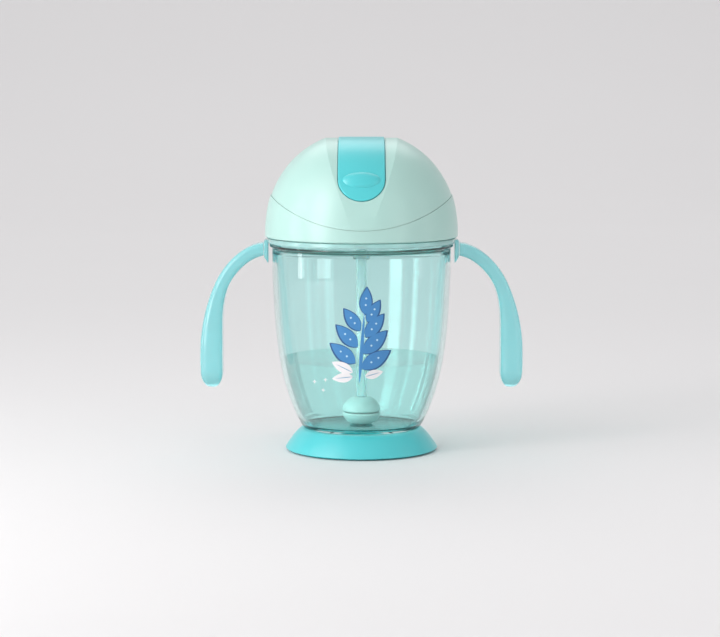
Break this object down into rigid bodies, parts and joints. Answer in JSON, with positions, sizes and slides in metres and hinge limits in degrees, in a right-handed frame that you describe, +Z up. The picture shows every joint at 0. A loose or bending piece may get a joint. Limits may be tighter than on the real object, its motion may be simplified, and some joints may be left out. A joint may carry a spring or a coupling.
{
  "type": "sippy cup",
  "caption": "Two-handled toddler cup: clear tapered vessel on a flared foot, domed screw lid with a sliding cover over a folding spout, and a straw ending in a weighted ball.",
  "frame": {"origin": "centre of the foot's underside, on the plane that the cup stands on", "axes": "+Z up along the cup's axis, +X through the right handle, -Y is the front where the sliding cover's round end lies"},
  "size_m": [0.1514, 0.0904, 0.1474],
  "materials": {
    "clear_vessel": "clear copolyester with a slight aqua tint, polished",
    "clear_aqua": "translucent aqua plastic, polished",
    "mint_plastic": "opaque mint polypropylene, satin gloss",
    "teal_plastic": "opaque teal polypropylene, satin gloss",
    "ball_plastic": "opaque pale mint polypropylene",
    "white_silicone": "milky translucent silicone",
    "grip_silicone": "matte teal silicone",
    "weight_steel": "turned stainless steel"
  },
  "bodies": {
    "cup": {"cup_body": "clear_vessel", "foot_base": "teal_plastic", "foot_pad": "grip_silicone", "handle_ring": "clear_aqua", "handle_left": "clear_aqua", "handle_right": "clear_aqua"},
    "gasket": {"lid_gasket": "white_silicone"},
    "lid": {"lid_collar": "mint_plastic", "dome_cover": "mint_plastic", "lid_plate": "mint_plastic", "spout_retainer": "mint_plastic", "spout_root": "white_silicone", "vent_valve": "white_silicone", "straw_socket": "clear_aqua"},
    "slider": {"slide_cover": "teal_plastic"},
    "spout": {"spout_tip": "white_silicone"},
    "straw_top": {"straw_cuff": "white_silicone"},
    "straw": {"straw_tube": "white_silicone", "ball_upper": "ball_plastic", "ball_lower": "ball_plastic", "ball_weight": "weight_steel", "ball_valve": "white_silicone"}
  },
  "joints": [
    {"name": "lid_rise", "type": "slide", "parent": "cup", "child": "gasket", "axis": [0, 0, 1], "range_m": [0, 0.00395]},
    {"name": "lid_turn", "type": "hinge", "parent": "gasket", "child": "lid", "pos_m": [0, 0, 0.1083], "axis": [0, 0, 1], "range_deg": [0, 175]},
    {"name": "slider_open", "type": "hinge", "parent": "lid", "child": "slider", "pos_m": [0, 0, 0.1018], "axis": [-1, 0, 0], "range_deg": [0, 66]},
    {"name": "spout_fold", "type": "hinge", "parent": "lid", "child": "spout", "pos_m": [0, 0, 0.128], "axis": [-1, 0, 0], "range_deg": [0, 85.2]},
    {"name": "straw_swing_x", "type": "hinge", "parent": "lid", "child": "straw_top", "pos_m": [0, 0, 0.0952], "axis": [1, 0, 0], "range_deg": [-10, 10]},
    {"name": "straw_swing_y", "type": "hinge", "parent": "straw_top", "child": "straw", "pos_m": [0, 0, 0.094], "axis": [0, 1, 0], "range_deg": [-10, 10]}
  ],
  "couplings": [
    {"joint": "lid_rise", "follows": "lid_turn", "m_per_rad": 0.0012732},
    {"joint": "spout_fold", "follows": "slider_open", "ratio": 1.2879}
  ]
}
